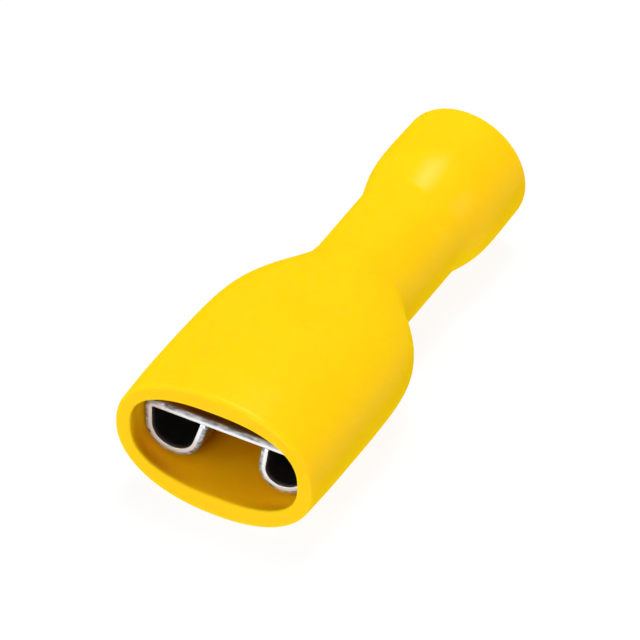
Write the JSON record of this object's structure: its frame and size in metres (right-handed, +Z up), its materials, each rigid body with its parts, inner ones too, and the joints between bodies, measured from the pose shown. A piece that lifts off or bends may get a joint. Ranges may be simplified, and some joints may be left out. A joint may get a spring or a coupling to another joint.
{
  "type": "insulated female spade terminal",
  "caption": "Fully insulated female spade terminal: oval boot over a folded receptacle with curled wings, round neck and flared wire entry.",
  "frame": {"origin": "on the surface that the part rests on, under the middle of its length and width", "axes": "+Y runs along the part from the tab mouth to the wire entry, +X is across the mouth, +Z is up from the surface that it rests on"},
  "size_m": [0.0126, 0.03, 0.0086],
  "materials": {
    "sleeve_vinyl": "smooth satin flexible vinyl, bright yellow",
    "plated_metal": "bright tin plate over sheet brass"
  },
  "bodies": {
    "root": {"insulating_sleeve": "sleeve_vinyl", "terminal": "plated_metal"}
  },
  "joints": []
}
